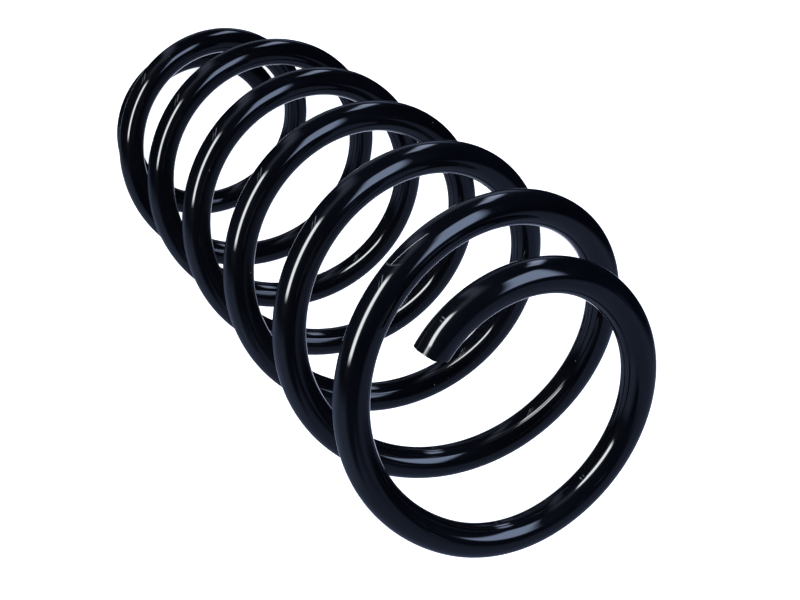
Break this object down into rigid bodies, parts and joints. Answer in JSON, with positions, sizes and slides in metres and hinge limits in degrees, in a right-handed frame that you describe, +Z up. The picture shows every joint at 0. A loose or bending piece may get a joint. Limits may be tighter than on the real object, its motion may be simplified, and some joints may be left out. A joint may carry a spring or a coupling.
{
  "type": "coil spring",
  "caption": "Right-handed helical compression spring of round black-coated steel bar, with a narrower closed coil at each end and coils that close up under load.",
  "frame": {"origin": "on the coil axis in the lower seat plane, which the lower end coil rests on", "axes": "+Z up along the coil axis towards the upper end coil, +X from the axis towards the cut tip of the lower end coil"},
  "size_m": [0.135, 0.135, 0.3569],
  "materials": {
    "coated_bar": "gloss black powder coat on spring steel"
  },
  "bodies": {
    "lower_end": {"lower_end_coil": "coated_bar", "lower_ramp_coil": "coated_bar"},
    "coil_1": {"active_coil_1": "coated_bar"},
    "coil_2": {"active_coil_2": "coated_bar"},
    "coil_3": {"active_coil_3": "coated_bar"},
    "coil_4": {"active_coil_4": "coated_bar"},
    "upper_end": {"active_coil_5": "coated_bar", "upper_ramp_coil": "coated_bar", "upper_end_coil": "coated_bar"}
  },
  "joints": [
    {"name": "squeeze_1", "type": "slide", "parent": "lower_end", "child": "coil_1", "axis": [0, 0, -1], "range_m": [0, 0.033], "stiffness_N_per_m": 131000},
    {"name": "squeeze_2", "type": "slide", "parent": "coil_1", "child": "coil_2", "axis": [0, 0, -1], "range_m": [0, 0.033], "stiffness_N_per_m": 131000},
    {"name": "squeeze_3", "type": "slide", "parent": "coil_2", "child": "coil_3", "axis": [0, 0, -1], "range_m": [0, 0.033], "stiffness_N_per_m": 131000},
    {"name": "squeeze_4", "type": "slide", "parent": "coil_3", "child": "coil_4", "axis": [0, 0, -1], "range_m": [0, 0.033], "stiffness_N_per_m": 131000},
    {"name": "squeeze_5", "type": "slide", "parent": "coil_4", "child": "upper_end", "axis": [0, 0, -1], "range_m": [0, 0.033], "stiffness_N_per_m": 131000}
  ],
  "couplings": [
    {"joint": "squeeze_2", "follows": "squeeze_1", "ratio": 1},
    {"joint": "squeeze_3", "follows": "squeeze_1", "ratio": 1},
    {"joint": "squeeze_4", "follows": "squeeze_1", "ratio": 1},
    {"joint": "squeeze_5", "follows": "squeeze_1", "ratio": 1}
  ]
}
